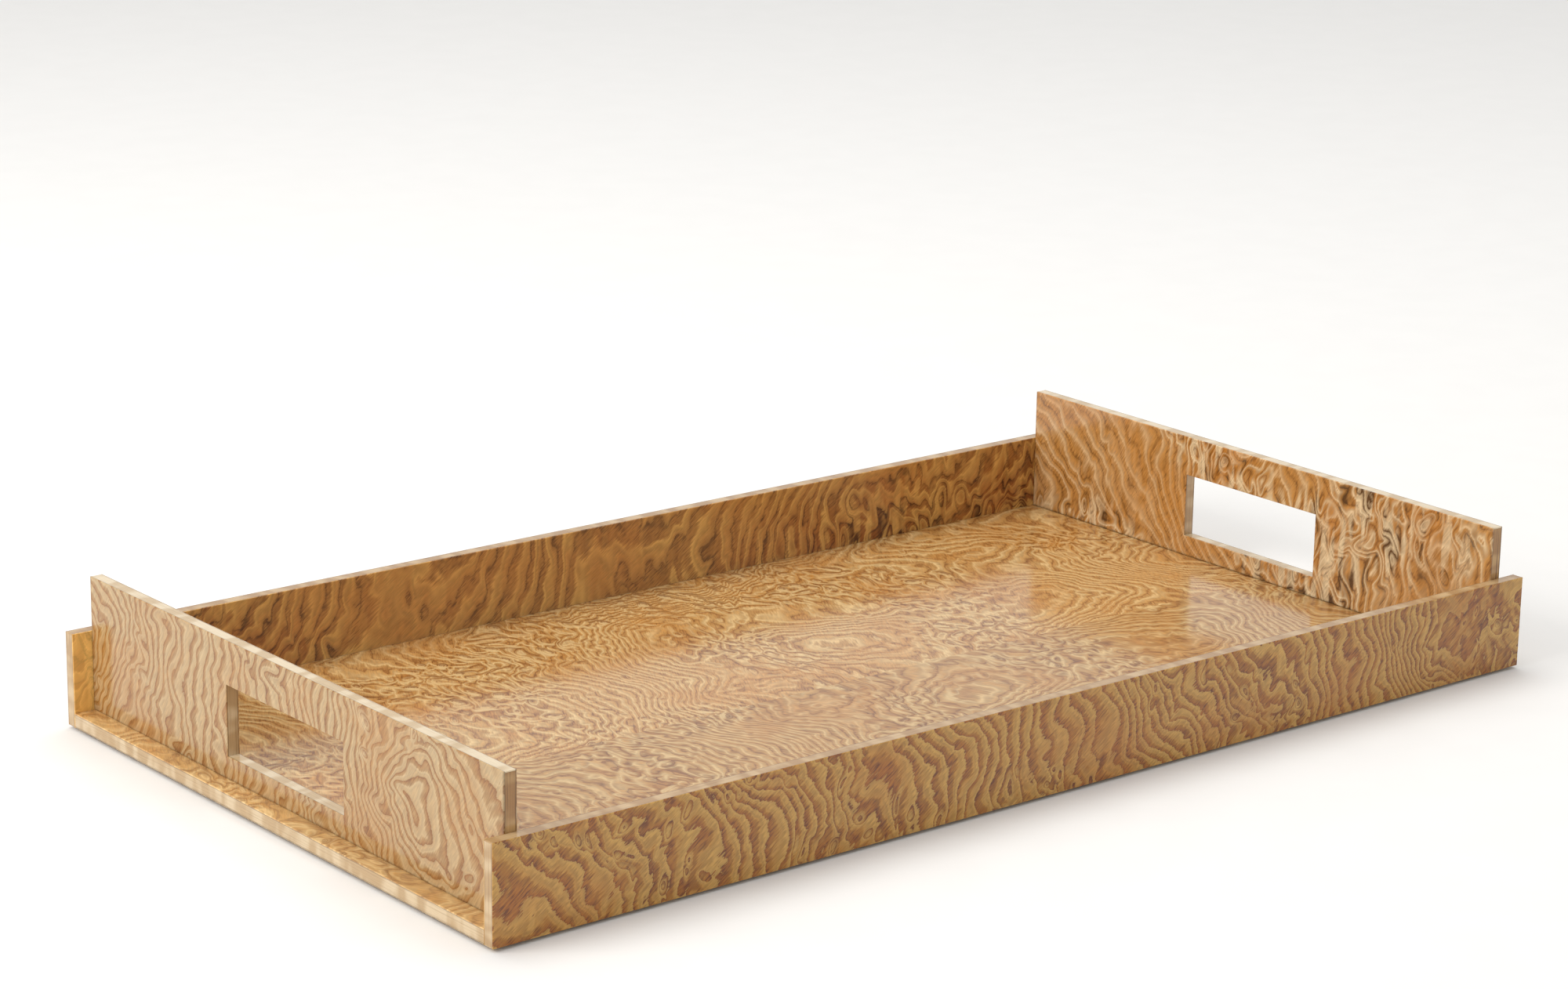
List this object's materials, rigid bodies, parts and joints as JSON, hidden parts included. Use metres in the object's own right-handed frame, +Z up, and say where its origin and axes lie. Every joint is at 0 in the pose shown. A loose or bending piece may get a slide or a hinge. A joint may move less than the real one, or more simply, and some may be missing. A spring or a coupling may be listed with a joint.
{
  "type": "serving tray",
  "caption": "Rectangular veneered wooden serving tray: flat base between two low long sides, with taller end panels that have rectangular hand holes.",
  "frame": {"origin": "the middle of the tray's footprint, on the plane that its felt pads rest on", "axes": "+X along the length from the left end to the right, +Y across from the front side to the back, +Z up"},
  "size_m": [0.61, 0.34, 0.0725],
  "materials": {
    "deck_burl": "burl ash veneer, satin lacquer",
    "side_outer_burl": "burl ash veneer, satin lacquer",
    "side_inner_burl": "burl ash veneer, satin lacquer",
    "end_outer_burl": "burl ash veneer, satin lacquer",
    "end_inner_burl": "burl ash veneer, satin lacquer",
    "cream_edge": "curly ash edge band, satin lacquer",
    "straight_edge": "straight-grained ash edge band, satin lacquer",
    "hole_lining": "curly ash lining strip, satin lacquer",
    "backing_ash": "plain ash balancing veneer, thin lacquer",
    "core_board": "fine fibreboard, unfinished",
    "dowel_beech": "turned beech, unfinished",
    "felt": "pressed wool felt"
  },
  "bodies": {
    "root": {"base_core": "core_board", "base_backing_veneer": "backing_ash", "deck_front_leaf": "deck_burl", "deck_back_leaf": "deck_burl", "base_left_band": "cream_edge", "base_right_band": "cream_edge", "front_side_core": "core_board", "front_side_outer_veneer": "side_outer_burl", "front_side_inner_veneer": "side_inner_burl", "front_side_top_band": "cream_edge", "front_side_bottom_band": "straight_edge", "front_side_left_band": "straight_edge", "front_side_right_band": "straight_edge", "back_side_core": "core_board", "back_side_outer_veneer": "side_outer_burl", "back_side_inner_veneer": "side_inner_burl", "back_side_top_band": "cream_edge", "back_side_bottom_band": "straight_edge", "back_side_left_band": "straight_edge", "back_side_right_band": "straight_edge", "left_end_core": "core_board", "left_end_outer_veneer": "end_outer_burl", "left_end_inner_veneer": "end_inner_burl", "left_end_top_band": "cream_edge", "left_end_front_band": "straight_edge", "left_end_back_band": "straight_edge", "left_hole_top_lining": "hole_lining", "left_hole_bottom_lining": "hole_lining", "left_hole_front_lining": "hole_lining", "left_hole_back_lining": "hole_lining", "right_end_core": "core_board", "right_end_outer_veneer": "end_outer_burl", "right_end_inner_veneer": "end_inner_burl", "right_end_top_band": "cream_edge", "right_end_front_band": "straight_edge", "right_end_back_band": "straight_edge", "right_hole_top_lining": "hole_lining", "right_hole_bottom_lining": "hole_lining", "right_hole_front_lining": "hole_lining", "right_hole_back_lining": "hole_lining", "front_side_dowels": "dowel_beech", "back_side_dowels": "dowel_beech", "left_end_dowels": "dowel_beech", "right_end_dowels": "dowel_beech", "left_corner_dowels": "dowel_beech", "right_corner_dowels": "dowel_beech", "felt_pads": "felt"}
  },
  "joints": []
}
